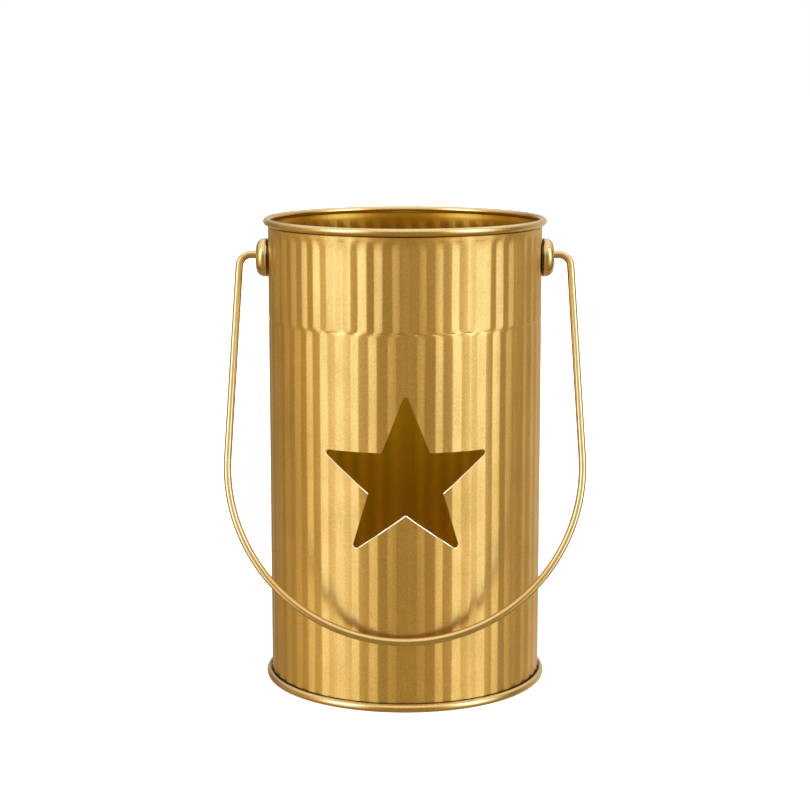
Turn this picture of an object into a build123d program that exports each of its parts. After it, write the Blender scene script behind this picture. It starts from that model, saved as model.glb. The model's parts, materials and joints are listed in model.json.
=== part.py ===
from build123d import *
import math
import os

# Punched tin lantern: a pail of pleated sheet with a star window, a split-tube hoop on
# each edge, a base disc for the candle and a wire bail that turns in two domed ears.
# Millimetres and degrees, +Z up, origin on the axis at the foot, star facing -Y.

# Whole pail
overall_height = 214.2
wall_radius = 62.5
wall_sheet = 0.5

# Pleats: crest to valley depth, how many go round, and how far one crest sits from the front.
# Between the two angles of its out-of-step stretch a band has crests where valleys would come.
pleat_depth = 0.7
lower_pleats = 48
lower_phase = -3.0
lower_out_of_step = (-180.0, -27.4)
upper_pleats = 52
upper_phase = 1.7
upper_out_of_step = (-31.3, 31.7)

# Heights over which the pleats flatten out at the rim, at the crimp line and at the foot
rim_runout = 4.0
crimp_runout = 1.2
foot_runout = 1.0
crimp_drop = 45.8
plain_collar = 2.4

# Hoops: split tubes pushed over the raw edges of the wall
hoop_sheet = 0.5
rim_tube_radius = 1.7
rim_tube_offset = 0.71
rim_tuck = 0.5
foot_tube_radius = 1.9
foot_tube_offset = 0.84
foot_tuck = 0.6
foot_land = 0.15
slot_clearance = 0.05

# Base disc, trapped between the foot hoop and the pleats
base_sheet = 0.5
base_clearance = 0.1
seat_gap = 0.05
floor_radius = 54.0
floor_rise = 1.2
floor_slope = 2.0

# Star window: its corners from its middle, before they are rounded. The arms have level tops.
star_height = 103.9
star_head_rise = 39.2
star_neck_half = 10.4
star_arm_reach = 37.6
star_arm_rise = 12.7
star_waist_half = 16.3
star_waist_drop = 5.5
star_leg_reach = 24.0
star_leg_drop = 32.1
star_fork_drop = 14.7
star_tip_round = 1.0
star_notch_round = 0.7

# Domed ears
hinge_drop = 17.2
ear_radius = 9.0
ear_stand = 5.7
ear_sheet = 0.6
ear_crown = 0.5
ear_shoulder = 4.2
ear_hole_offset = 1.35
ear_neck_radius = 4.5
ear_lip_gap = 0.9
ear_gap = 0.05

# Washers inside the wall
washer_radius = 5.0
washer_thickness = 0.8

# Bail: round wire with peened ends
wire_radius = 1.75
hinge_clearance = 0.1
wall_hole_clearance = 0.2
head_radius = 2.9
head_thickness = 1.6
head_round = 0.8
bail_side_gap = 16.9
bail_rest_height = 32.57
bail_rest_gap = 0.3
bail_splay = 2.4
bail_bend_radius = 5.5

# Worked out from the sizes above
wall_inside = wall_radius - wall_sheet
valley_inside = wall_inside - pleat_depth
wall_middle = wall_radius - wall_sheet / 2
crimp_radius = wall_radius - pleat_depth / 2
crimp_height = overall_height - crimp_drop
hinge_height = overall_height - hinge_drop

rim_ring_radius = wall_middle + rim_tube_offset
rim_ring_height = overall_height - rim_tube_radius
wall_top = rim_ring_height + rim_tuck
collar_bottom = rim_ring_height - rim_tube_radius - plain_collar

foot_ring_radius = wall_middle + foot_tube_offset
foot_ring_height = foot_tube_radius - foot_land
wall_bottom = foot_ring_height - foot_tuck

base_radius = wall_inside - base_clearance
base_seat_reach = foot_ring_radius - base_radius
base_bottom = foot_ring_height + math.sqrt(foot_tube_radius**2 - base_seat_reach**2) + seat_gap
base_top = base_bottom + base_sheet
foot_ring_top = base_top + base_clearance

washer_face = math.sqrt(valley_inside**2 - washer_radius**2) - seat_gap
head_face = washer_face - washer_thickness - seat_gap
wire_end = head_face - head_thickness / 2
ear_face = wall_radius + ear_stand
ear_height = hinge_height - ear_hole_offset

crown_radius = wall_radius + bail_side_gap
bail_stand_off = wall_radius + wire_radius + bail_rest_gap
bail_drop = hinge_height - bail_rest_height
bail_reach = math.hypot(bail_drop, bail_stand_off)
bail_lean = math.degrees(math.atan2(bail_stand_off, bail_drop))


def polar(radius, degrees_from_front):
    """Point at a radius, turned from the front (-Y) towards +X."""
    turn = math.radians(degrees_from_front)
    return (radius * math.sin(turn), -radius * math.cos(turn))


def zigzag(pleats, crest, height):
    """Outline with one straight flank between each fold and the next."""
    count, phase, (stretch_start, stretch_end) = pleats
    half_pitch = 180 / count
    corners = []
    for i in range(2 * count):
        turn = phase + i * half_pitch
        from_front = (turn + 180) % 360 - 180
        out_of_step = stretch_start < from_front < stretch_end
        on_crest = (i % 2 == 0) != out_of_step
        corners.append(polar(crest if on_crest else crest - pleat_depth, turn))
    return Pos(0, 0, height) * make_face(Polyline(*corners, close=True))


def plain_round(pleats, radius, height):
    """Circle cut into as many arcs as the zigzag has flanks, so that a loft pairs them."""
    count, phase, _ = pleats
    half_pitch = 180 / count
    arcs = []
    for i in range(2 * count):
        start = phase + i * half_pitch
        spots = [polar(radius, start + share * half_pitch) for share in (0, 0.5, 1)]
        arcs.append(ThreePointArc(*spots))
    return Pos(0, 0, height) * make_face(arcs)


def pleated_band(pleats, stations):
    """Ring of sheet through stations of (outline, outside radius, height), from the bottom up."""
    skins = []
    for inset in (0, wall_sheet):
        outlines = [outline(pleats, radius - inset, height) for outline, radius, height in stations]
        skins.append(loft(outlines, ruled=True))
    return skins[0] - skins[1]


def star_cutter():
    right_half = [
        (star_neck_half, star_arm_rise),
        (star_arm_reach, star_arm_rise),
        (star_waist_half, -star_waist_drop),
        (star_leg_reach, -star_leg_drop),
    ]
    left_half = [(-across, up) for across, up in reversed(right_half)]
    corners = [(0, star_head_rise), *right_half, (0, -star_fork_drop), *left_half]
    rounds = [star_tip_round, star_notch_round] * (len(corners) // 2)
    outline = FilletPolyline(*corners, radius=rounds, close=True)
    plane = Plane.XZ * Pos(0, star_height)
    return extrude(plane * make_face(outline), 2 * wall_radius, dir=(0, -1, 0))


def hinge_rod(radius):
    """Round bar along the hinge axis, right through the pail."""
    through = Cylinder(radius, 4 * wall_radius, rotation=(0, 90, 0))
    return Pos(0, 0, hinge_height) * through


def make_wall():
    lower = [
        (plain_round, wall_radius, wall_bottom),
        (plain_round, wall_radius, foot_ring_top),
        (zigzag, wall_radius, foot_ring_top + foot_runout),
        (zigzag, wall_radius, crimp_height - crimp_runout),
        (plain_round, crimp_radius, crimp_height),
    ]
    upper = [
        (plain_round, crimp_radius, crimp_height),
        (zigzag, wall_radius, crimp_height + crimp_runout),
        (zigzag, wall_radius, collar_bottom - rim_runout),
        (plain_round, wall_radius, collar_bottom),
        (plain_round, wall_radius, wall_top),
    ]
    wall = pleated_band((lower_pleats, lower_phase, lower_out_of_step), lower)
    wall += pleated_band((upper_pleats, upper_phase, upper_out_of_step), upper)
    return wall - [star_cutter(), hinge_rod(wire_radius + wall_hole_clearance)]


def split_hoop(ring_radius, ring_height, tube_radius, slot_low, slot_high):
    """Rolled tube with a slot that takes the edge of the wall."""
    tube = Circle(tube_radius) - Circle(tube_radius - hoop_sheet)
    slot_width = wall_sheet + 2 * slot_clearance
    slot_middle = (slot_low + slot_high) / 2
    slot = Pos(wall_middle, slot_middle) * Rectangle(slot_width, slot_high - slot_low)
    section = Pos(ring_radius, ring_height) * tube - slot
    return revolve(Plane.XZ * section, Axis.Z)


def make_rim_hoop():
    slot_low = rim_ring_height - 2 * rim_tube_radius
    slot_high = wall_top + slot_clearance
    return split_hoop(rim_ring_radius, rim_ring_height, rim_tube_radius, slot_low, slot_high)


def make_foot_hoop():
    slot_low = wall_bottom - slot_clearance
    slot_high = foot_ring_height + 2 * foot_tube_radius
    hoop = split_hoop(foot_ring_radius, foot_ring_height, foot_tube_radius, slot_low, slot_high)
    hanging = (Align.CENTER, Align.CENTER, Align.MAX)
    return hoop - Cylinder(2 * wall_radius, foot_tube_radius, align=hanging)


def make_base_disc():
    """Flat rim that lies on the foot hoop, with the floor pressed up inside it."""
    slope_end = floor_radius + floor_slope
    outline = [
        (0, base_bottom + floor_rise),
        (floor_radius, base_bottom + floor_rise),
        (slope_end, base_bottom),
        (base_radius, base_bottom),
        (base_radius, base_top),
        (slope_end, base_top),
        (floor_radius, base_top + floor_rise),
        (0, base_top + floor_rise),
    ]
    section = make_face(Polyline(*outline, close=True))
    return revolve(Plane.XZ * section, Axis.Z)


def dome(radius, top, shoulder):
    """Button along +X from the axis of the pail, with a crowned face and a large round shoulder."""
    outline = [(0, 0), (radius, 0), (radius, top - ear_crown), (0, top)]
    half = make_face(Polyline(*outline, close=True))
    corner = half.vertices().filter_by(lambda v: v.Y > 0 and v.X > 0)
    half = fillet(corner, shoulder)
    button = revolve(Plane.XZ * half, Axis.Z)
    return Plane((0, 0, ear_height), x_dir=(0, 1, 0), z_dir=(1, 0, 0)) * button


def make_right_ear():
    """Cap whose lip stands off the wall, on a neck that seats on the wall round the hinge."""
    hollow = dome(ear_radius - ear_sheet, ear_face - ear_sheet, ear_shoulder - ear_sheet)
    hollow += Cylinder(wall_radius + ear_lip_gap, 4 * overall_height)
    hollow -= hinge_rod(ear_neck_radius)
    ear = dome(ear_radius, ear_face, ear_shoulder) - hollow
    ear -= Cylinder(wall_radius + ear_gap, 4 * overall_height)
    return ear - hinge_rod(wire_radius + hinge_clearance)


def make_right_washer():
    ring = Circle(washer_radius) - Circle(wire_radius + hinge_clearance)
    seat = Plane((washer_face, 0, hinge_height), x_dir=(0, 1, 0), z_dir=(1, 0, 0))
    return extrude(seat * ring, washer_thickness, dir=(-1, 0, 0))


def make_bail_head():
    """Peened right-hand end of the wire."""
    head = Cylinder(head_radius, head_thickness, align=(Align.CENTER, Align.CENTER, Align.MIN))
    head = fillet(head.edges().sort_by(Axis.Z)[-1], head_round)
    seat = Plane((head_face, 0, 0), x_dir=(0, 1, 0), z_dir=(-1, 0, 0))
    return seat * head


def bail_path():
    """Centreline of the bail hanging straight down from a hinge at height 0."""
    splay = math.radians(bail_splay)
    crown_centre = bail_reach - crown_radius
    arm_foot = (crown_radius * math.cos(splay), crown_radius * math.sin(splay) - crown_centre)
    corner = arm_foot[0] + arm_foot[1] * math.tan(splay)
    turn = math.pi / 2 - splay
    tangent = bail_bend_radius * math.tan(turn / 2)
    bend_start = (corner - tangent, 0)
    bend_end = (corner + tangent * math.sin(splay), -tangent * math.cos(splay))
    bend_middle = (
        bend_start[0] + bail_bend_radius * math.sin(turn / 2),
        bail_bend_radius * (math.cos(turn / 2) - 1),
    )

    def mirrored(point):
        return (-point[0], point[1])

    flat = [
        Line(mirrored((wire_end, 0)), mirrored(bend_start)),
        ThreePointArc(mirrored(bend_start), mirrored(bend_middle), mirrored(bend_end)),
        Line(mirrored(bend_end), mirrored(arm_foot)),
        ThreePointArc(mirrored(arm_foot), (0, -bail_reach), arm_foot),
        Line(arm_foot, bend_end),
        ThreePointArc(bend_end, bend_middle, bend_start),
        Line(bend_start, (wire_end, 0)),
    ]
    return Wire([Plane.XZ * edge for edge in flat])


def make_bail():
    path = bail_path()
    section = Plane(path @ 0, z_dir=path % 0) * Circle(wire_radius)
    bail = sweep(section, path=path)
    head = make_bail_head()
    bail += head
    bail += mirror(head, about=Plane.YZ)
    return Pos(0, 0, hinge_height) * Rot(-bail_lean, 0, 0) * bail


def main():
    right_ear = make_right_ear()
    right_washer = make_right_washer()
    nodes = {
        "pleated_wall": make_wall(),
        "rim_hoop": make_rim_hoop(),
        "foot_hoop": make_foot_hoop(),
        "base_disc": make_base_disc(),
        "right_ear": right_ear,
        "left_ear": mirror(right_ear, about=Plane.YZ),
        "right_washer": right_washer,
        "left_washer": mirror(right_washer, about=Plane.YZ),
        "bail_wire": make_bail(),
    }
    os.makedirs("parts", exist_ok=True)
    for name, solid in nodes.items():
        export_step(solid, f"parts/{name}.step")
    print(f"bail leans {bail_lean:.2f} degrees and reaches {bail_reach:.2f} mm")
    print(f"base disc at {base_bottom:.2f} to {base_top:.2f} mm, ear face at {ear_face:.2f} mm")


main()
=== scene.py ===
import json
import math
import random
from bisect import bisect_right
from collections import namedtuple

import bmesh
import bpy
from mathutils import Matrix, Vector, noise


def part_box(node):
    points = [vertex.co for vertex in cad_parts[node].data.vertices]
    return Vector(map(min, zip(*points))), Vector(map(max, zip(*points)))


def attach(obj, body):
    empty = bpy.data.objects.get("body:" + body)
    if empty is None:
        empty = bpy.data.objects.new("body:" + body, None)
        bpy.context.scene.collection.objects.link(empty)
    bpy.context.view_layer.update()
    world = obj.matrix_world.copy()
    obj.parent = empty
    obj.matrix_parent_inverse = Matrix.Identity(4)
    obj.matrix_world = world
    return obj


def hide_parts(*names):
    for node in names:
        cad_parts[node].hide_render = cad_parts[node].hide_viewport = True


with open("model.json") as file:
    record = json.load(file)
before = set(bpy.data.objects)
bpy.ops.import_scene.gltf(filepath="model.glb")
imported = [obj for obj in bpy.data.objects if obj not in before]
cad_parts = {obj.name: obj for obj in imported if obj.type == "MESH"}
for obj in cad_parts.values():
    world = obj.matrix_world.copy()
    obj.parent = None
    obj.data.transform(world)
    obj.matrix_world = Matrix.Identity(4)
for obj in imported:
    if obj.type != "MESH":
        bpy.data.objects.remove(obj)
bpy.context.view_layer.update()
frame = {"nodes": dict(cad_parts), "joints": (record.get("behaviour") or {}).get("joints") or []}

scene = bpy.context.scene
MM = 0.001

# Places read from the frame, in metres
WALL_LOW, WALL_HIGH = (corner.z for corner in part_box("pleated_wall"))
WALL_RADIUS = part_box("pleated_wall")[1].x
RIM_LOW, RIM_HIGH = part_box("rim_hoop")
FOOT_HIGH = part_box("foot_hoop")[1]
BASE_LOW, BASE_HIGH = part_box("base_disc")
EAR_LOW, EAR_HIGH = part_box("right_ear")
WASHER_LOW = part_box("right_washer")[0]
BAIL_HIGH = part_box("bail_wire")[1]
HINGE_HEIGHT = frame["joints"][0]["pos_m"][2]
HINGE = Vector((0, 0, HINGE_HEIGHT))

# Wall sheet and pleats
SHEET = 0.5 * MM
WALL_MIDDLE = WALL_RADIUS - SHEET / 2
PLEAT_DEPTH = 0.6 * MM
FOLD_TURN = 0.42 * MM / WALL_RADIUS
FOLD_SLIP = 0.28 * MM / WALL_RADIUS
FOLD_WANDER = 0.34 * MM / WALL_RADIUS
FACET_BOW = 0.05
LOWER_PLEATS, LOWER_PHASE = 48, math.radians(-3.0)
LOWER_OUT_OF_STEP = (math.radians(-180.0), math.radians(-27.4))
UPPER_PLEATS, UPPER_PHASE = 52, math.radians(1.7)
UPPER_OUT_OF_STEP = (math.radians(-31.3), math.radians(31.7))
LOWER_SWING_HIGH, LOWER_SWING_LOW = 0.86, 0.62
LOWER_FLATS = (
    (LOWER_OUT_OF_STEP[0], math.radians(4), 0.75),
    (LOWER_OUT_OF_STEP[1], math.radians(4), 0.75),
)
UPPER_FLATS = (
    (UPPER_OUT_OF_STEP[0], math.radians(4), 0.75),
    (UPPER_OUT_OF_STEP[1], math.radians(4), 0.75),
    (math.radians(12), math.radians(9), 0.55),
)
LOWER_DRIFT = (math.radians(-14), math.radians(9), math.radians(-0.9))
NO_DRIFT = (0.0, 1.0, 0.0)
LOWER_SEED, UPPER_SEED = 11, 23
OUTSIDE_STEP, INSIDE_STEP = 4 * MM, 8 * MM
CRIMP_HEIGHT = RIM_HIGH.z - 45.8 * MM
CRIMP_RUNOUT = 2.4 * MM
CRIMP_HALF = 0.08 * MM
CRIMP_LEVEL = 0.6
COLLAR_BOTTOM = RIM_LOW.z - 2.3 * MM
RIM_RUNOUT = 5.0 * MM
FOOT_TOP = FOOT_HIGH.z - 0.35 * MM
FOOT_RUNOUT = 0.9 * MM
INNER_SMOOTH_LOW, INNER_SMOOTH_HIGH = RIM_LOW.z - 14.8 * MM, RIM_LOW.z - 8.3 * MM
INNER_SMOOTH_LEVEL = 0.6
LAP_ANGLE = math.radians(181.5)
LAP_RAMP = math.radians(11)
LAP_EDGE = 0.03 * MM / WALL_RADIUS
STEEP = (0, 0.06, 0.2, 0.45, 0.75, 1)
FINE = (0, 0.02, 0.06, 0.14, 0.25, 0.4, 0.6, 0.8, 1)
DENTS = (
    (math.radians(17.5), 67.5 * MM, 2.8 * MM, 0.14 * MM),
    (math.radians(24.5), 73.5 * MM, 2.4 * MM, 0.14 * MM),
    (math.radians(-40), 76 * MM, 9 * MM, 0.16 * MM),
)

# Star window, measured from its middle
STAR_OFFSET, STAR_HEIGHT = 0.3 * MM, 103.8 * MM
HEAD_RISE = 39.2 * MM
NECK_HALF, ARM_REACH, ARM_RISE = 10.4 * MM, 37.2 * MM, 12.7 * MM
WAIST_HALF, WAIST_DROP = 16.3 * MM, 5.5 * MM
LEG_REACH, LEG_DROP, FORK_DROP = 24.0 * MM, 32.1 * MM, 14.7 * MM
STAR_HALF = (
    (NECK_HALF, ARM_RISE), (ARM_REACH, ARM_RISE), (WAIST_HALF, -WAIST_DROP), (LEG_REACH, -LEG_DROP))
STAR_CORNERS = (
    [(0.0, HEAD_RISE)] + list(STAR_HALF) + [(0.0, -FORK_DROP)] + [(-x, rise) for x, rise in STAR_HALF[::-1]])
STAR_NOTCH_ROUND = 0.7 * MM
HEAD_TIP_ROUND, ARM_TIP_ROUND, LEG_TIP_ROUND = 1.0 * MM, 1.4 * MM, 1.25 * MM
STAR_TIP_ROUNDS = (HEAD_TIP_ROUND, ARM_TIP_ROUND, LEG_TIP_ROUND, LEG_TIP_ROUND, ARM_TIP_ROUND)
STAR_STEP = 0.4 * MM
CUT_BEVEL, CUT_BEVEL_DEPTH = 0.38 * MM, 0.28 * MM
CUT_SHARP = 28

# Hoops, base, ears and bail
HOOP_SHEET = 0.5 * MM
FOOT_TUBE = 1.9 * MM
SLOT_HALF = SHEET / 2 + 0.05 * MM
HOOP_LIP_GAP = 0.55 * MM
BASE_SHEET, BASE_RISE, BASE_FLOOR, BASE_SLOPE = 0.5 * MM, 1.2 * MM, 54 * MM, 2 * MM
EAR_SHOULDER, EAR_CROWN = 3.7 * MM, 0.5 * MM
EAR_RADIUS, EAR_HEIGHT = (EAR_HIGH.z - EAR_LOW.z) / 2, (EAR_HIGH.z + EAR_LOW.z) / 2
EAR_LIP_GAP, EAR_SEAT_GAP = 0.55 * MM, 0.05 * MM
EAR_SKIRT = EAR_RADIUS - 0.4 * MM
EAR_GROOVE, EAR_GROOVE_FACE = 0.22 * MM, WALL_RADIUS + 1.0 * MM
WIRE_RADIUS = 1.75 * MM
WALL_HOLE_GAP, EAR_HOLE_GAP, HEAD_GAP = 0.2 * MM, 0.1 * MM, 0.05 * MM
HEAD_RADIUS, HEAD_THICKNESS, HEAD_ROUND = 2.9 * MM, 1.6 * MM, 0.8 * MM
BAIL_BEND = 5.5 * MM
BAIL_SPLAY = math.radians(2.4)
BAIL_REST_GAP, BAIL_REST_HEIGHT = 0.3 * MM, 32.57 * MM
BAIL_STAND_OFF = WALL_RADIUS + WIRE_RADIUS + BAIL_REST_GAP
BAIL_DROP = HINGE_HEIGHT - BAIL_REST_HEIGHT
BAIL_REACH = math.hypot(BAIL_DROP, BAIL_STAND_OFF)
BAIL_LEAN = math.atan2(BAIL_STAND_OFF, BAIL_DROP)

# Finishes: grain of the lacquer, painted shade in the crevices, painted shade on the bail's flanks and wall
# side, and the deeper gold inside with painted shade in its recesses and towards the mouth
STREAK_SCALE, DRIFT_SCALE, FLAKE_SCALE = 700, 38, 1500
STREAK_SQUASH = (1, 1, 0.06)
FLAKE_SHARE = 1.8
FLAKE_BUMP = 0.2 * MM
COAT_ROUGHNESS, COAT_IOR = 0.16, 1.6
# Painted shade: a dark colour laid into the crevices beside the hoops' lips and under the ears
CREVICE_SHADE_FULL, CREVICE_SHADE_GONE = 0.35 * MM, 0.8 * MM
CREVICE_SHADE_COLOUR = (0.09, 0.042, 0.005, 1)
# Painted shade on the bail: a dark, rough shader along the wire's flanks and on its side by the wall
FLANK_SHADE_COLOUR = (0.17, 0.10, 0.022, 1)
BACK_ROUGHNESS, BACK_SPECULAR = 0.7, 0.2
BACK_SHADE_SHARE, BACK_FADE = 0.5, 0.4 * WIRE_RADIUS
FLANK_FULL, FLANK_GONE = 0.36 * WIRE_RADIUS, 0.74 * WIRE_RADIUS
MOUTH_LOW, MOUTH_HIGH = CRIMP_HEIGHT - 15 * MM, CRIMP_HEIGHT + 25 * MM
# Painted shade: the inside's gold grows darker and deeper towards the mouth
MOUTH_SHADE_COLOUR = (0.55, 0.258, 0.0105, 1)
MOUTH_POLISH = 0.18
# Painted shade: a darker gold in the inside's pleat recesses, drawing upright stripes
RECESS_SHADE_COLOUR = (0.71, 0.472, 0.0145, 1)
RECESS_LOW, RECESS_HIGH = WALL_RADIUS - SHEET - PLEAT_DEPTH, WALL_RADIUS - SHEET

# Studio light: windows as azimuth from the front, half width in degrees and colour
BOX_AZIMUTHS, BOX_HALF, BOX_FALLOFF = (-54, 58), 50, 4.5
BOX_STEPS = (
    (0.0, 0.55, (1.07, 0.96, 0.80, 1)),
    (0.55, 1.0, (1.42, 1.84, 3.2, 1)),
    (1.0, 1.5, (2.1, 2.9, 6.0, 1)),
)
WINDOWS = (
    (0, 75, (0.38, 0.31, 0.17, 1)),
    (-88, 48, (0.52, 0.43, 0.26, 1)),
    (158, 58, (0.70, 0.64, 0.52, 1)),
)
REST_LIGHT = (0.30, 0.245, 0.135, 1)
OVERHEAD_LIGHT = (1.15, 1.30, 1.90, 1)
BELOW_LIGHT = (0.40, 0.31, 0.16, 1)

# Camera fitted to the photograph's rim and foot ellipses
CAMERA_BACK, CAMERA_HEIGHT = 0.9442, 0.2920
CAMERA_PITCH = math.radians(9.903)
CAMERA_LENS, CAMERA_SENSOR = 92.11, 36.0


# Mesh helpers

def polar(radius, angle, height):
    """Point at a radius, turned from the front (-Y) towards +X."""
    return Vector((radius * math.sin(angle), -radius * math.cos(angle), height))


def arc(centre, radius, start, end, steps):
    """Points along an arc in the (radius, height) plane, angles in degrees."""
    spots = []
    for i in range(steps + 1):
        turn = math.radians(start + (end - start) * i / steps)
        spots.append((centre[0] + radius * math.cos(turn), centre[1] + radius * math.sin(turn)))
    return spots


def round_corner(before, corner, after, radius, steps):
    """Points of the arc that rounds a corner between two straight edges."""
    back = (before - corner).normalized()
    on = (after - corner).normalized()
    half = back.angle(on) / 2
    centre = corner + (back + on).normalized() * radius / math.sin(half)
    start = corner + back * radius / math.tan(half) - centre
    end = corner + on * radius / math.tan(half) - centre
    return [centre + start.lerp(end, k / steps).normalized() * radius for k in range(steps + 1)]


def rounded(points, radii, steps=6):
    """Closed outline with its corners rounded where the radius isn't 0."""
    corners = [Vector(point) for point in points]
    outline = []
    for i, corner in enumerate(corners):
        if radii[i]:
            outline += round_corner(corners[i - 1], corner, corners[(i + 1) % len(corners)], radii[i], steps)
        else:
            outline.append(corner)
    return outline


def finish_mesh(mesh, sharp):
    """Outward normals, smooth faces, and hard edges only past the sharp angle."""
    work = bmesh.new()
    work.from_mesh(mesh)
    bmesh.ops.recalc_face_normals(work, faces=work.faces)
    work.to_mesh(mesh)
    work.free()
    mesh.shade_smooth()
    mesh.set_sharp_from_angle(angle=math.radians(sharp))


def add_piece(name, work, sharp=40):
    mesh = bpy.data.meshes.new(name)
    work.to_mesh(mesh)
    work.free()
    piece = bpy.data.objects.new(name, mesh)
    scene.collection.objects.link(piece)
    finish_mesh(mesh, sharp)
    return piece


def join_rings(work, low, high):
    count = len(low)
    for i in range(count):
        j = (i + 1) % count
        work.faces.new((low[i], low[j], high[j], high[i]))


def loop_rows(work, rows, close_rows):
    """Quads between rings of points; the last ring joins the first if close_rows."""
    rings = [[work.verts.new(point) for point in row] for row in rows]
    pairs = list(zip(rings, rings[1:]))
    if close_rows:
        pairs.append((rings[-1], rings[0]))
    for low, high in pairs:
        join_rings(work, low, high)
    return rings


def capped_rows(name, rows, sharp=40):
    """Closed solid from rings of points, with a flat cap on the first and the last."""
    work = bmesh.new()
    rings = loop_rows(work, rows, False)
    work.faces.new(rings[0])
    work.faces.new(rings[-1])
    return add_piece(name, work, sharp)


def zip_rings(work, low, low_angles, high, high_angles):
    """Triangles between two rings whose points lie at different angles."""
    i = j = 0
    n, m = len(low), len(high)
    while i < n or j < m:
        next_low = low_angles[i + 1] if i + 1 < n else low_angles[0] + math.tau
        next_high = high_angles[j + 1] if j + 1 < m else high_angles[0] + math.tau
        if j >= m or (i < n and next_low <= next_high):
            work.faces.new((low[i % n], low[(i + 1) % n], high[j % m]))
            i += 1
        else:
            work.faces.new((low[i % n], high[(j + 1) % m], high[j % m]))
            j += 1


def spin(turns):
    return [math.tau * i / turns for i in range(turns)]


def lathe(name, section, turns=360):
    """Closed ring from a closed section of (radius, height) points."""
    work = bmesh.new()
    rows = [[polar(radius, angle, height) for angle in spin(turns)] for radius, height in section]
    loop_rows(work, rows, True)
    return add_piece(name, work)


def spun_solid(name, profile, turns):
    """Solid of a profile of (radius, height) points that starts and ends on the axis."""
    work = bmesh.new()
    rows = [[polar(radius, angle, height) for angle in spin(turns)] for radius, height in profile[1:-1]]
    rings = loop_rows(work, rows, False)
    for ring, (_, height) in ((rings[0], profile[0]), (rings[-1], profile[-1])):
        tip = work.verts.new((0, 0, height))
        for i in range(turns):
            work.faces.new((ring[i], ring[(i + 1) % turns], tip))
    return add_piece(name, work)


def rod(name, radius, turns=128):
    """Plain cutter along the hinge axis."""
    rows = []
    for x in (-2 * WALL_RADIUS, 2 * WALL_RADIUS):
        rows.append([HINGE + Vector((x, radius * math.cos(a), radius * math.sin(a))) for a in spin(turns)])
    return capped_rows(name, rows)


def cut_away(piece, cutters, sharp=40):
    """Takes the cutters' volume out of a piece and removes them."""
    for cutter in cutters:
        tool = piece.modifiers.new("cut", "BOOLEAN")
        tool.operation = "DIFFERENCE"
        tool.solver = "EXACT"
        tool.object = cutter
    graph = bpy.context.evaluated_depsgraph_get()
    mesh = bpy.data.meshes.new_from_object(piece.evaluated_get(graph))
    piece.modifiers.clear()
    piece.data = mesh
    for cutter in cutters:
        bpy.data.objects.remove(cutter)
    mesh.shade_smooth()
    mesh.set_sharp_from_angle(angle=math.radians(sharp))


# Pleated wall

Station = namedtuple("Station", "height swing level soften")


class Pleats:
    """One band of pleats: where its folds lie and how far the sheet drops between them."""

    def __init__(self, count, phase, out_of_step, flats, drift, seed):
        draw = random.Random(seed)
        folds = []
        for i in range(2 * count):
            turn = phase + i * math.pi / count
            from_front = (turn + math.pi) % math.tau - math.pi
            swapped = out_of_step[0] < from_front < out_of_step[1]
            level = 0.0 if (i % 2 == 0) != swapped else 1.0
            for middle, width, share in flats:
                level += (0.5 - level) * share * math.exp(-(((from_front - middle) / width) ** 2))
            turn += drift[2] * math.exp(-(((from_front - drift[0]) / drift[1]) ** 2))
            turn += draw.uniform(-FOLD_SLIP, FOLD_SLIP)
            folds.append((turn % math.tau, level, draw.uniform(-FACET_BOW, FACET_BOW)))
        folds.sort()
        before = [(turn - math.tau, level, bow) for turn, level, bow in folds[-2:]]
        after = [(turn + math.tau, level, bow) for turn, level, bow in folds[:2]]
        self.angles, self.levels, self.bows = zip(*(before + folds + after))

    def slopes(self, i):
        """Slopes at the two ends of the facet after fold i."""
        length = self.angles[i + 1] - self.angles[i]
        rise = self.levels[i + 1] - self.levels[i]
        return (rise + 4 * self.bows[i]) / length, (rise - 4 * self.bows[i]) / length

    def drops(self, angle):
        """Drop at an angle, 0 on a crest and 1 in a valley: as folded, and as a plain wave."""
        i = bisect_right(self.angles, angle) - 1
        share = (angle - self.angles[i]) / (self.angles[i + 1] - self.angles[i])
        start, end = self.levels[i], self.levels[i + 1]
        wave = start + (end - start) * (1 - math.cos(math.pi * share)) / 2
        folded = start + (end - start) * share + 4 * self.bows[i] * share * (1 - share)
        for fold in (i, i + 1):
            away = angle - self.angles[fold]
            if abs(away) < FOLD_TURN:
                before = self.slopes(fold - 1)[1]
                after = self.slopes(fold)[0]
                turned = (after - before) * (away + FOLD_TURN) ** 2 / (4 * FOLD_TURN)
                folded = self.levels[fold] + before * away + turned
        return folded, wave

    def columns(self, fold_shares, facet_shares):
        """Angles round the band at which the sheet is drawn."""
        spots = [LAP_ANGLE - LAP_EDGE, LAP_ANGLE + LAP_EDGE]
        for i in range(2, len(self.angles) - 2):
            spots += [self.angles[i] + FOLD_TURN * share for share in fold_shares]
            facet = self.angles[i + 1] - self.angles[i]
            spots += [self.angles[i] + facet * share for share in facet_shares]
        return sorted(spot % math.tau for spot in spots)


def clamp(value):
    return min(1.0, max(0.0, value))


def lap_rise(angle, height):
    """How far the outer flap of the lap seam stands out: a ramp up to its free edge."""
    share = (angle - (LAP_ANGLE - LAP_RAMP)) / LAP_RAMP
    clear_of_rim = clamp((COLLAR_BOTTOM - height) / RIM_RUNOUT)
    clear_of_foot = clamp((height - FOOT_TOP) / FOOT_RUNOUT)
    return SHEET * share * clear_of_rim * clear_of_foot if 0 <= share <= 1 else 0.0


def wander(angle, height):
    """Sideways drift of the folds up the wall, as an angle."""
    at = Vector((12 * math.sin(angle), 12 * math.cos(angle), height / (45 * MM)))
    return FOLD_WANDER * noise.noise(at)


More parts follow.
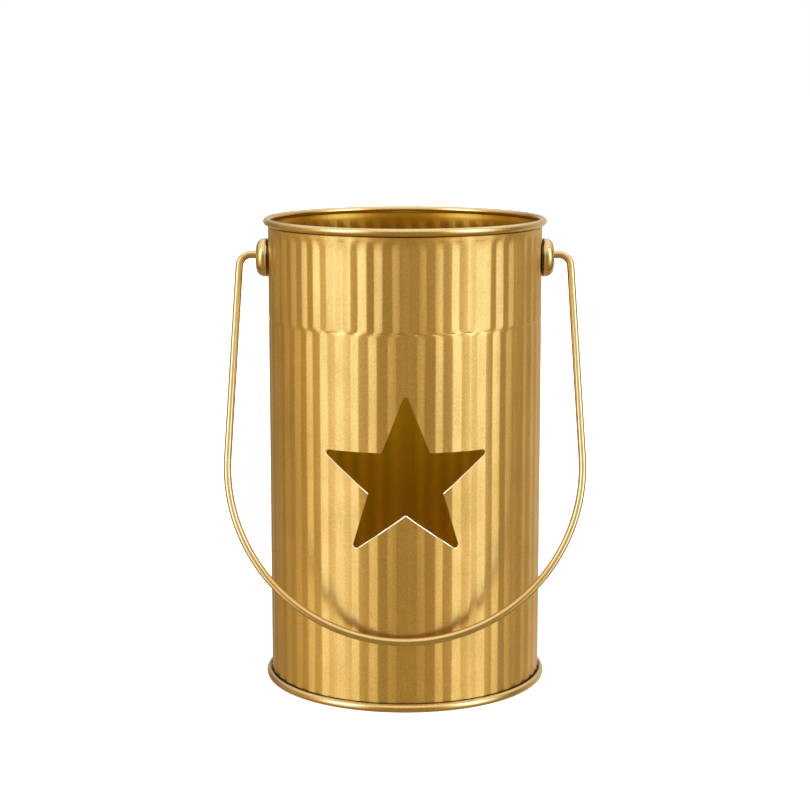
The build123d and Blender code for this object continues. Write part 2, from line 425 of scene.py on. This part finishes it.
def unevenness(angle, height):
    """Waviness of thin pressed sheet, faint upright streaks and a few soft dents below the star."""
    way = Vector((math.sin(angle), math.cos(angle), 0))
    slow = way * 1.6 + Vector((0, 0, height / (26 * MM)))
    streak = way * 24 + Vector((0, 0, height / (55 * MM)))
    wave = 0.055 * noise.noise(slow) + 0.03 * noise.noise(slow * 2.7) + 0.03 * noise.noise(streak)
    wave *= MM
    for dent_angle, dent_height, width, depth in DENTS:
        across = (angle - dent_angle + math.pi) % math.tau - math.pi
        reach = ((across * WALL_RADIUS) ** 2 + (height - dent_height) ** 2) / width**2
        wave -= depth * math.exp(-reach)
    return wave


def lower_swing(height):
    """Pleat depth of the lower band as a share: it is pressed shallower towards the foot."""
    share = clamp((height - WALL_LOW) / (CRIMP_HEIGHT - WALL_LOW))
    return LOWER_SWING_LOW + (LOWER_SWING_HIGH - LOWER_SWING_LOW) * share


def runout_rows(plain_end, pleat_end, level, shares, steepness=0.5, peak=1.0):
    """Stations along a run-out, where the pleats end rounded like fingertips."""
    rows = []
    for share in shares:
        swing = peak * (1 - (1 - share) ** 2) ** steepness
        height = plain_end + (pleat_end - plain_end) * share
        rows.append(Station(height, swing, level, clamp(1.6 * (1 - share))))
    return rows


def even_rows(low, high, step):
    count = max(1, round((high - low) / step))
    return [Station(low + (high - low) * i / count, 1.0, 0.0, 0.0) for i in range(1, count)]


def lower_even_rows(low, high, step):
    return [row._replace(swing=lower_swing(row.height)) for row in even_rows(low, high, step)]


def lower_rows(step):
    """Stations of the lower band, from the bottom up."""
    rows = [Station(WALL_LOW, 0.0, 0.0, 0.0)]
    foot_end, crimp_end = FOOT_TOP + FOOT_RUNOUT, CRIMP_HEIGHT - CRIMP_RUNOUT
    rows += runout_rows(FOOT_TOP, foot_end, 0.0, STEEP, peak=lower_swing(foot_end))
    rows += lower_even_rows(foot_end, crimp_end, step)
    crimp = CRIMP_HEIGHT - CRIMP_HALF
    rows += runout_rows(crimp, crimp_end, CRIMP_LEVEL, STEEP, peak=lower_swing(crimp_end))[::-1]
    return rows


def upper_rows(step):
    """Stations of the upper band's outside, from the crimp up."""
    rows = runout_rows(CRIMP_HEIGHT + CRIMP_HALF, CRIMP_HEIGHT + CRIMP_RUNOUT, CRIMP_LEVEL, STEEP)
    rows += even_rows(CRIMP_HEIGHT + CRIMP_RUNOUT, COLLAR_BOTTOM - RIM_RUNOUT, step)
    rows += runout_rows(COLLAR_BOTTOM, COLLAR_BOTTOM - RIM_RUNOUT, 0.0, FINE, 0.8)[::-1]
    return rows + [Station(WALL_HIGH, 0.0, 0.0, 0.0)]


def upper_inner_rows(step):
    """Stations of the upper band's inside, which is rolled smooth below the rim."""
    rows = runout_rows(CRIMP_HEIGHT + CRIMP_HALF, CRIMP_HEIGHT + CRIMP_RUNOUT, CRIMP_LEVEL, STEEP)
    rows += even_rows(CRIMP_HEIGHT + CRIMP_RUNOUT, INNER_SMOOTH_LOW, step)
    rows += runout_rows(INNER_SMOOTH_HIGH, INNER_SMOOTH_LOW, INNER_SMOOTH_LEVEL, STEEP)[::-1]
    rows.append(Station(COLLAR_BOTTOM + 0.2 * MM, 0.0, INNER_SMOOTH_LEVEL, 1.0))
    rows.append(Station(RIM_LOW.z - 0.8 * MM, 0.0, INNER_SMOOTH_LEVEL / 2, 1.0))
    rows.append(Station(RIM_LOW.z, 0.0, 0.0, 1.0))
    return rows + [Station(WALL_HIGH, 0.0, 0.0, 1.0)]


def skin_point(angle, drops, station, inset, outer):
    """Point of one skin of the sheet; inset is its depth below the outside."""
    folded, wave = drops
    drop = folded + (wave - folded) * station.soften
    depth = station.swing * drop + (1 - station.swing) * station.level
    radius = WALL_RADIUS - inset - PLEAT_DEPTH * depth
    radius += unevenness(angle, station.height) * min(1.0, 2 * station.swing)
    if outer:
        radius += lap_rise(angle, station.height)
    turn = angle + wander(angle, station.height) * min(1.0, 2 * station.swing)
    return polar(radius, turn, station.height)


def band_rings(work, pleats, columns, stations, inset, outer):
    drops = [pleats.drops(angle) for angle in columns]
    rows = []
    for station in stations:
        rows.append([skin_point(a, d, station, inset, outer) for a, d in zip(columns, drops)])
    return loop_rows(work, rows, False)


def star_outline():
    """Points and outward directions round the star, in (x, height) from its middle."""
    radii = [STAR_NOTCH_ROUND if i % 2 else STAR_TIP_ROUNDS[i // 2] for i in range(len(STAR_CORNERS))]
    corners = rounded(STAR_CORNERS, radii, 8)
    points = []
    for spot, after in zip(corners, corners[1:] + corners[:1]):
        steps = max(1, round((after - spot).length / STAR_STEP))
        points += [spot.lerp(after, k / steps) for k in range(steps)]
    ways = []
    for i, spot in enumerate(points):
        along = (points[(i + 1) % len(points)] - points[i - 1]).normalized()
        ways.append(Vector((-along.y, along.x)))
    return list(zip(points, ways))


def outside_at(pleats, x, height):
    """Y of the pleated outside at a point seen from the front."""
    angle = math.asin(x / WALL_RADIUS)
    angle -= wander(angle, height)
    folded, _ = pleats.drops(angle % math.tau)
    radius = WALL_RADIUS - PLEAT_DEPTH * lower_swing(height) * folded
    radius += unevenness(angle, height)
    return -math.sqrt(radius**2 - x**2)


def star_cutter(pleats):
    """Star-shaped cutter that leaves a small bevel along the pleated outside."""
    flat_front, flat_back = -(WALL_RADIUS + 6 * MM), -0.4 * WALL_RADIUS
    rows = [[], [], [], [], []]
    for spot, way in star_outline():
        bevel = CUT_BEVEL * (0.6 - 0.4 * way.y)
        for row, spread, lift, flat in (
            (rows[0], 1.3 * bevel, None, flat_front),
            (rows[1], 1.3 * bevel, -1.5 * MM, None),
            (rows[2], bevel, 0.0, None),
            (rows[3], 0.0, CUT_BEVEL_DEPTH, None),
            (rows[4], 0.0, None, flat_back),
        ):
            x = STAR_OFFSET + spot.x + way.x * spread
            height = STAR_HEIGHT + spot.y + way.y * spread
            y = flat if lift is None else outside_at(pleats, x, height) + lift
            row.append(Vector((x, y, height)))
    return capped_rows("star_cutter", rows)


def make_wall():
    lower = Pleats(LOWER_PLEATS, LOWER_PHASE, LOWER_OUT_OF_STEP, LOWER_FLATS, LOWER_DRIFT, LOWER_SEED)
    upper = Pleats(UPPER_PLEATS, UPPER_PHASE, UPPER_OUT_OF_STEP, UPPER_FLATS, NO_DRIFT, UPPER_SEED)
    work = bmesh.new()
    ends = []
    for inset, outer, step, fold_shares, facet_shares, top_rows in (
        (0.0, True, OUTSIDE_STEP, (-1, -0.5, 0, 0.5, 1), (0.35, 0.65), upper_rows),
        (SHEET, False, INSIDE_STEP, (-1, 0, 1), (), upper_inner_rows),
    ):
        low_angles = lower.columns(fold_shares, facet_shares)
        high_angles = upper.columns(fold_shares, facet_shares)
        low = band_rings(work, lower, low_angles, lower_rows(step), inset, outer)
        high = band_rings(work, upper, high_angles, top_rows(step), inset, outer)
        zip_rings(work, low[-1], low_angles, high[0], high_angles)
        ends.append(((low[0], low_angles), (high[-1], high_angles)))
    for (outside, outside_angles), (inside, inside_angles) in zip(*ends):
        zip_rings(work, outside, outside_angles, inside, inside_angles)
    wall = add_piece("wall", work)
    cut_away(wall, [star_cutter(lower), rod("hinge_cutter", WIRE_RADIUS + WALL_HOLE_GAP)], CUT_SHARP)
    return wall


# Hoops, base, ears and bail

def hoop_section(centre, tube, slot_side):
    """Split tube round centre; slot_side is -1 with the slot below and 1 with it above."""
    bore = tube - HOOP_SHEET
    near = WALL_MIDDLE + SLOT_HALF + HOOP_LIP_GAP - centre[0]
    far = WALL_MIDDLE - SLOT_HALF - centre[0]
    start, end = (math.degrees(math.acos(offset / tube)) for offset in (near, far))
    bore_start, bore_end = (math.degrees(math.acos(max(-1, offset / bore))) for offset in (near, far))
    section = arc(centre, tube, slot_side * start, slot_side * (end - 360), 48)
    return section + arc(centre, bore, slot_side * (bore_end - 360), slot_side * bore_start, 32)


def make_rim():
    tube = (RIM_HIGH.z - RIM_LOW.z) / 2
    return lathe("rim", hoop_section((RIM_HIGH.x - tube, RIM_HIGH.z - tube), tube, -1))


def make_foot():
    section = hoop_section((FOOT_HIGH.x - FOOT_TUBE, FOOT_HIGH.z - FOOT_TUBE), FOOT_TUBE, 1)
    return lathe("foot", [(radius, max(0.0, height)) for radius, height in section])


def make_base():
    low, high = BASE_LOW.z, BASE_LOW.z + BASE_SHEET
    edge, foot = BASE_HIGH.x, BASE_FLOOR + BASE_SLOPE
    outline = [
        (0, low + BASE_RISE), (BASE_FLOOR, low + BASE_RISE), (foot, low), (edge, low),
        (edge, high), (foot, high), (BASE_FLOOR, high + BASE_RISE), (0, high + BASE_RISE)]
    radii = [0, 1.2 * MM, 0.8 * MM, 0, 0, 1.2 * MM, 0.8 * MM, 0]
    return spun_solid("base", rounded(outline, radii), 240)


def dome(name, radius, top, shoulder, groove):
    """Domed button along X, with a small groove round it above its lip."""
    outline = [
        (0, 0), (radius, 0), (radius, EAR_GROOVE_FACE), (radius - groove, EAR_GROOVE_FACE + groove),
        (radius - groove, top - EAR_CROWN), (0, top)]
    profile = rounded(outline, [0, 0, groove / 2, groove / 2, shoulder, 0], 16)
    return sideways(spun_solid(name, profile, 160))


def sideways(piece):
    """Lays a piece spun about the axis along X, at the ears' height."""
    piece.data.transform(Matrix.Translation((0, 0, EAR_HEIGHT)) @ Matrix.Rotation(math.pi / 2, 4, "Y"))
    return piece


def barrel(name, radius):
    """Cutter the shape of the wall's outside, as high as the ears need."""
    low, high = EAR_LOW.z - 20 * MM, EAR_HIGH.z + 20 * MM
    return spun_solid(name, [(0, low), (radius, low), (radius, high), (0, high)], 720)


def slab(name, face):
    """Cutter from the axis to a flat face beside the wall, as high as the ears need."""
    wide, low, high = 2 * EAR_RADIUS, EAR_LOW.z - EAR_RADIUS, EAR_HIGH.z + EAR_RADIUS
    corners = ((-wide, low), (wide, low), (wide, high), (-wide, high))
    return capped_rows(name, [[Vector((x, y, z)) for y, z in corners] for x in (-face, face)])


def make_ear(name):
    """Domed button on a narrower skirt, with its lip a little off the wall."""
    ear = dome(name, EAR_RADIUS, EAR_HIGH.x, EAR_SHOULDER, EAR_GROOVE)
    far = 2 * WALL_RADIUS
    skirt = spun_solid("ear_skirt", [(0, -far), (EAR_SKIRT, -far), (EAR_SKIRT, far), (0, far)], 160)
    under = slab("ear_under", WALL_RADIUS + EAR_LIP_GAP)
    cut_away(under, [sideways(skirt)])
    seat = barrel("ear_seat", WALL_RADIUS + EAR_SEAT_GAP)
    cut_away(ear, [seat, rod("ear_hole", WIRE_RADIUS + EAR_HOLE_GAP), under])
    return ear


def mirrored(piece, name):
    """Copy of a piece on the other side of the axis."""
    mesh = piece.data.copy()
    mesh.transform(Matrix.Scale(-1, 4, (1, 0, 0)))
    mesh.flip_normals()
    copy = bpy.data.objects.new(name, mesh)
    scene.collection.objects.link(copy)
    return copy


def head_stations():
    """(spot, radius) along the peened end, from its tip to its flat face on the washer."""
    face = WASHER_LOW.x - HEAD_GAP
    tip = face - HEAD_THICKNESS
    stations = [(tip, 0.02 * MM)]
    for k in range(9):
        turn = math.pi / 2 * k / 8
        flare = HEAD_ROUND * math.sin(turn)
        stations.append((tip + HEAD_ROUND * (1 - math.cos(turn)), HEAD_RADIUS - HEAD_ROUND + flare))
    stations += [(face, HEAD_RADIUS), (face, WIRE_RADIUS)]
    return [(Vector((x, 0)), radius) for x, radius in stations]


def bail_line():
    """Centreline of the right half as (x, drop) points, from the head to the crown."""
    crown = BAIL_HIGH.x - WIRE_RADIUS
    arm = Vector((crown * math.cos(BAIL_SPLAY), BAIL_REACH - crown - crown * math.sin(BAIL_SPLAY)))
    corner = arm.x - arm.y * math.tan(BAIL_SPLAY)
    turn = math.pi / 2 - BAIL_SPLAY
    bend_start = Vector((corner - BAIL_BEND * math.tan(turn / 2), 0))
    line = [Vector((WASHER_LOW.x, 0)).lerp(bend_start, i / 6) for i in range(6)]
    for k in range(17):
        bent = turn * k / 16
        line.append(bend_start + BAIL_BEND * Vector((math.sin(bent), 1 - math.cos(bent))))
    bend_end = line[-1]
    line += [bend_end.lerp(arm, i / 24) for i in range(1, 24)]
    for k in range(81):
        swing = -BAIL_SPLAY + (math.pi / 2 + BAIL_SPLAY) * k / 80
        line.append(Vector((crown * math.cos(swing), BAIL_REACH - crown + crown * math.sin(swing))))
    return line


def travel(spots, i):
    """Direction of travel at a point; the straight ends keep their own direction."""
    step = spots[min(len(spots) - 1, i + 1)] - spots[max(0, i - 1)]
    if step.length < 1e-7:
        return Vector((1, 0)) if i < len(spots) / 2 else Vector((-1, 0))
    return step.normalized()


def make_bail():
    """Round wire swept along its flat path, leaned forward onto the wall."""
    half = head_stations() + [(spot, WIRE_RADIUS) for spot in bail_line()]
    whole = half + [(Vector((-spot.x, spot.y)), radius) for spot, radius in half[-2::-1]]
    spots = [spot for spot, _ in whole]
    lean = Matrix.Translation(HINGE) @ Matrix.Rotation(-BAIL_LEAN, 4, "X")
    rows = []
    for i, (spot, radius) in enumerate(whole):
        along = travel(spots, i)
        across = Vector((along.y, 0, along.x))
        centre = Vector((spot.x, 0, -spot.y))
        ring = [across * math.cos(turn) + Vector((0, math.sin(turn), 0)) for turn in spin(32)]
        rows.append([lean @ (centre + radius * way) for way in ring])
    return capped_rows("bail", rows, 50)


# Materials

class Nodes:
    """Short way to add and link shader nodes."""

    def __init__(self, tree):
        self.tree = tree
        tree.nodes.clear()

    def add(self, kind, links=None, **settings):
        made = self.tree.nodes.new(kind)
        for key, value in settings.items():
            setattr(made, key, value)
        for socket, value in (links or {}).items():
            if isinstance(value, bpy.types.NodeSocket):
                self.tree.links.new(value, made.inputs[socket])
            else:
                made.inputs[socket].default_value = value
        return made

    def grain(self, vector, scale, detail, roughness):
        settings = {"Vector": vector, "Scale": scale, "Detail": detail, "Roughness": roughness}
        return self.add("ShaderNodeTexNoise", settings).outputs["Fac"]

    def mix(self, share, low, high):
        return self.add("ShaderNodeMix", {"Factor": share, 6: low, 7: high}, data_type="RGBA").outputs[2]

    def span(self, value, low, high, to_low=0.0, to_high=1.0, soft=True):
        return self.add("ShaderNodeMapRange", {
            "Value": value, "From Min": low, "From Max": high, "To Min": to_low, "To Max": to_high},
            interpolation_type="SMOOTHSTEP" if soft else "LINEAR").outputs[0]

    def math(self, operation, first, second=0.0):
        return self.add("ShaderNodeMath", {0: first, 1: second}, operation=operation).outputs[0]

    def vector(self, operation, first, second=(0, 0, 0), output="Vector"):
        return self.add("ShaderNodeVectorMath", {0: first, 1: second}, operation=operation).outputs[output]

    def near(self, value, middle, full, gone):
        """1 within full of a middle value, 0 past gone."""
        away = self.math("ABSOLUTE", self.math("SUBTRACT", value, middle))
        return self.span(away, full, gone, 1.0, 0.0)

    def length(self, vector, keep):
        """Length of a vector's kept components."""
        return self.vector("LENGTH", self.vector("MULTIPLY", vector, keep), output="Value")


def crevice_shade_mask(net, place):
    """Painted shade: 1 in the crevices beside the two hoops' lips and under the two ears."""
    height = net.add("ShaderNodeSeparateXYZ", {0: place}).outputs["Z"]
    foot = net.near(height, FOOT_HIGH.z - CREVICE_SHADE_FULL, CREVICE_SHADE_FULL, CREVICE_SHADE_GONE)
    rim = net.near(height, RIM_LOW.z, CREVICE_SHADE_FULL, CREVICE_SHADE_GONE)
    at_wall = net.near(net.length(place, (1, 1, 0)), WALL_RADIUS, CREVICE_SHADE_GONE, 1.5 * CREVICE_SHADE_GONE)
    lips = net.math("MULTIPLY", net.math("MAXIMUM", foot, rim), at_wall)
    from_ear = net.vector("SUBTRACT", place, (0, 0, EAR_HEIGHT))
    patch = net.span(net.length(from_ear, (0, 1, 1)), EAR_RADIUS - CREVICE_SHADE_FULL, EAR_RADIUS, 1.0, 0.0)
    under = net.near(net.length(place, (1, 0, 0)), WALL_RADIUS, 0.9 * EAR_LIP_GAP, EAR_LIP_GAP)
    return net.math("MAXIMUM", lips, net.math("MULTIPLY", patch, under))


def flank_shade_mask(net, place):
    """Painted shade: 1 along the bail's two flanks and less on the side by the wall, darkening the wire's
    edges and the side facing the wall.
    """
    lean = (0, math.cos(BAIL_LEAN), -math.sin(BAIL_LEAN))
    depth = net.vector("DOT_PRODUCT", net.vector("SUBTRACT", place, HINGE), lean, "Value")
    flanks = net.span(net.math("ABSOLUTE", depth), FLANK_FULL, FLANK_GONE, 1.0, 0.0)
    return net.math("MAXIMUM", flanks, net.span(depth, 0, BACK_FADE, 0.0, BACK_SHADE_SHARE))


def gold(
    name, dark, light, rough, grain, coat, streaks, metallic=1.0, crevice_shade=False, mouth=False, back=False
):
    """Gold lacquer: fine flake grain, slow tone drift and faint upright streaks, with optional painted
    shade.
    """
    material = bpy.data.materials.new(name)
    material.use_nodes = True
    net = Nodes(material.node_tree)
    place = net.add("ShaderNodeTexCoord").outputs["Object"]
    squashed = net.add("ShaderNodeMapping", {"Vector": place, "Scale": STREAK_SQUASH}).outputs["Vector"]
    streak = net.grain(squashed, STREAK_SCALE, 4, 0.65)
    drift = net.grain(place, DRIFT_SCALE, 4, 0.55)
    flake = net.grain(place, FLAKE_SCALE, 2, 0.7)
    tone = net.math("ADD", drift, net.math("MULTIPLY", streak, streaks))
    speck = net.math("ADD", tone, net.math("MULTIPLY", flake, FLAKE_SHARE))
    middle = (1 + FLAKE_SHARE + streaks) / 2
    colour = net.mix(net.span(speck, middle - 0.4, middle + 0.4, soft=False), dark, light)
    # Painted shade: darkens the crevices beside the hoops and under the ears
    if crevice_shade:
        colour = net.mix(crevice_shade_mask(net, place), colour, CREVICE_SHADE_COLOUR)
    sheen = net.span(tone, 0.25, 0.75 + streaks, rough[1], rough[0], soft=False)
    if mouth:
        height = net.add("ShaderNodeSeparateXYZ", {0: place}).outputs["Z"]
        near_mouth = net.span(height, MOUTH_LOW, MOUTH_HIGH)
        # Painted shade: the inside's pleat recesses are darkened into upright stripes
        recess_shade = net.span(net.length(place, (1, 1, 0)), RECESS_LOW, RECESS_HIGH)
        colour = net.mix(recess_shade, colour, RECESS_SHADE_COLOUR)
        # Painted shade: darker, deeper gold towards the mouth; the mouth is also polished smoother (lower
        # roughness)
        colour = net.mix(near_mouth, colour, MOUTH_SHADE_COLOUR)
        sheen = net.math("SUBTRACT", sheen, net.math("MULTIPLY", near_mouth, MOUTH_POLISH))
    bump = net.add("ShaderNodeBump", {"Height": flake, "Strength": grain, "Distance": FLAKE_BUMP})
    shader = net.add("ShaderNodeBsdfPrincipled", {
        "Base Color": colour, "Metallic": metallic, "Roughness": sheen,
        "Normal": bump.outputs[0], "Coat Weight": coat, "Coat Roughness": COAT_ROUGHNESS,
        "Coat IOR": COAT_IOR})
    surface = shader.outputs[0]
    # Painted shade: mixes a dark shader onto the bail's flanks and its side by the wall
    if back:
        shaded_side = net.add("ShaderNodeBsdfPrincipled", {
            "Base Color": FLANK_SHADE_COLOUR, "Roughness": BACK_ROUGHNESS, "Specular IOR Level": BACK_SPECULAR})
        layers = {0: flank_shade_mask(net, place), 1: surface, 2: shaded_side.outputs[0]}
        surface = net.add("ShaderNodeMixShader", layers).outputs[0]
    net.add("ShaderNodeOutputMaterial", {"Surface": surface})
    return material


def dress(piece, material):
    piece.data.materials.clear()
    piece.data.materials.append(material)


def line_inside(piece, material):
    """Gives a round piece's inward faces their own finish."""
    piece.data.materials.append(material)
    for face in piece.data.polygons:
        outward = Vector((face.center.x, face.center.y, 0)).normalized()
        if face.normal.dot(outward) < -0.5:
            face.material_index = 1


def paint_star_edge_highlight(piece, material):
    """Gives the bevel round the star window a paler gold, a painted highlight along the cut edge."""
    piece.data.materials.append(material)
    for face in piece.data.polygons:
        outward = Vector((face.center.x, face.center.y, 0)).normalized()
        in_reach = max(abs(face.center.x), abs(face.center.z - STAR_HEIGHT)) < HEAD_RISE + 2 * MM
        if in_reach and face.center.y < 0 and 0.3 < face.normal.dot(outward) < 0.93:
            face.material_index = 2


# Studio

def make_floor():
    work = bmesh.new()
    bmesh.ops.create_grid(work, x_segments=1, y_segments=1, size=12)
    floor = add_piece("floor", work)
    material = bpy.data.materials.new("pale_floor")
    material.use_nodes = True
    net = Nodes(material.node_tree)
    shader = net.add("ShaderNodeBsdfPrincipled", {
        "Base Color": (0.9, 0.9, 0.9, 1), "Roughness": 0.9, "Specular IOR Level": 0.0,
        "Emission Color": (1, 1, 1, 1), "Emission Strength": 0.75})
    net.add("ShaderNodeOutputMaterial", {"Surface": shader.outputs[0]})
    floor.data.materials.append(material)
    floor.visible_glossy = False


def soft_window(net, flat, azimuth, gone, falloff):
    """Peak of 1 at an azimuth from the front that falls to 0 at gone, in degrees."""
    turn = math.radians(azimuth)
    facing = net.vector("DOT_PRODUCT", flat, (math.sin(turn), -math.cos(turn), 0), "Value")
    share = net.span(facing, math.cos(math.radians(gone)), 1.0, soft=False)
    return net.math("POWER", share, falloff)


def make_world():
    """Soft boxes left and right of the camera, a light overhead and a dim warm rest."""
    world = bpy.data.worlds.new("studio")
    scene.world = world
    world.use_nodes = True
    net = Nodes(world.node_tree)
    way = net.add("ShaderNodeTexCoord").outputs["Generated"]
    flat = net.vector("NORMALIZE", net.vector("MULTIPLY", way, (1, 1, 0)))
    rise = net.add("ShaderNodeSeparateXYZ", {0: way}).outputs["Z"]
    left, right = (soft_window(net, flat, azimuth, BOX_HALF, BOX_FALLOFF) for azimuth in BOX_AZIMUTHS)
    boxes = net.math("MAXIMUM", left, right)
    boxes = net.math("MULTIPLY", boxes, net.span(rise, -0.80, 0.35, 0.0, 1.75, soft=False))
    boxes = net.math("MULTIPLY", boxes, net.span(rise, 0.65, 0.90, 1.0, 0.0))
    light = REST_LIGHT
    for azimuth, half, colour in WINDOWS:
        light = net.mix(soft_window(net, flat, azimuth, half, 1.0), light, colour)
    light = net.mix(net.span(rise, 0.20, 0.90), light, OVERHEAD_LIGHT)
    for low, high, colour in BOX_STEPS:
        light = net.mix(net.span(boxes, low, high, soft=False), light, colour)
    light = net.mix(net.span(rise, -0.80, -0.40, 1.0, 0.0), light, BELOW_LIGHT)
    studio = net.add("ShaderNodeBackground", {"Color": light, "Strength": 1.0})
    plain = net.add("ShaderNodeBackground", {"Color": (1, 1, 1, 1), "Strength": 1.0})
    seen = net.add("ShaderNodeLightPath").outputs["Is Camera Ray"]
    mixed = net.add("ShaderNodeMixShader", {0: seen, 1: studio.outputs[0], 2: plain.outputs[0]})
    net.add("ShaderNodeOutputWorld", {"Surface": mixed.outputs[0]})


def make_camera():
    camera = bpy.data.objects.new("camera", bpy.data.cameras.new("camera"))
    scene.collection.objects.link(camera)
    camera.location = (0, -CAMERA_BACK, CAMERA_HEIGHT)
    camera.rotation_euler = (math.pi / 2 - CAMERA_PITCH, 0, 0)
    camera.data.lens = CAMERA_LENS
    camera.data.sensor_width = CAMERA_SENSOR
    camera.data.clip_start, camera.data.clip_end = 0.05, 100
    scene.camera = camera


WALL_GOLD = gold(
    "wall_gold", (0.70, 0.425, 0.088, 1), (0.94, 0.575, 0.147, 1), (0.28, 0.40), 0.12, 0.0, 0.5, crevice_shade=True)
INSIDE_GOLD = gold(
    "inside_gold", (0.93, 0.635, 0.022, 1), (1.0, 0.70, 0.031, 1), (0.36, 0.48), 0.1, 0.0, 0.5,
    metallic=0.75, mouth=True)
# Painted highlight: a paler gold for the bevel round the star window
EDGE_HIGHLIGHT_GOLD = gold("edge_highlight_gold", (0.94, 0.72, 0.31, 1), (1.0, 0.80, 0.39, 1), (0.25, 0.35), 0.05, 0.0, 0.3)
HOOP_GOLD = gold(
    "hoop_gold", (0.68, 0.43, 0.105, 1), (0.82, 0.53, 0.15, 1), (0.12, 0.19), 0.06, 0.5, 0.2, crevice_shade=True)
BAIL_GOLD = gold(
    "bail_gold", (0.68, 0.43, 0.105, 1), (0.82, 0.53, 0.15, 1), (0.12, 0.19), 0.05, 0.5, 0.2, back=True)


make_camera()
make_world()
make_floor()

wall = make_wall()
bail = make_bail()
ear_right = make_ear("ear_right")
for piece, node, slot, body, material in (
    (wall, "pleated_wall", "wall_sheet", "lantern", WALL_GOLD),
    (make_rim(), "rim_hoop", "hoop_metal", "lantern", HOOP_GOLD),
    (make_foot(), "foot_hoop", "hoop_metal", "lantern", HOOP_GOLD),
    (make_base(), "base_disc", "base_sheet", "lantern", INSIDE_GOLD),
    (ear_right, "right_ear", "ear_metal", "lantern", HOOP_GOLD),
    (mirrored(ear_right, "ear_left"), "left_ear", "ear_metal", "lantern", HOOP_GOLD),
    (bail, "bail_wire", "bail_metal", "bail", BAIL_GOLD),
):
    dress(piece, material)
    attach(piece, body)
    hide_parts(node)

line_inside(wall, INSIDE_GOLD)
paint_star_edge_highlight(wall, EDGE_HIGHLIGHT_GOLD)
for node in ("left_washer", "right_washer"):
    dress(frame["nodes"][node], HOOP_GOLD)

scene.view_settings.view_transform = "Standard"
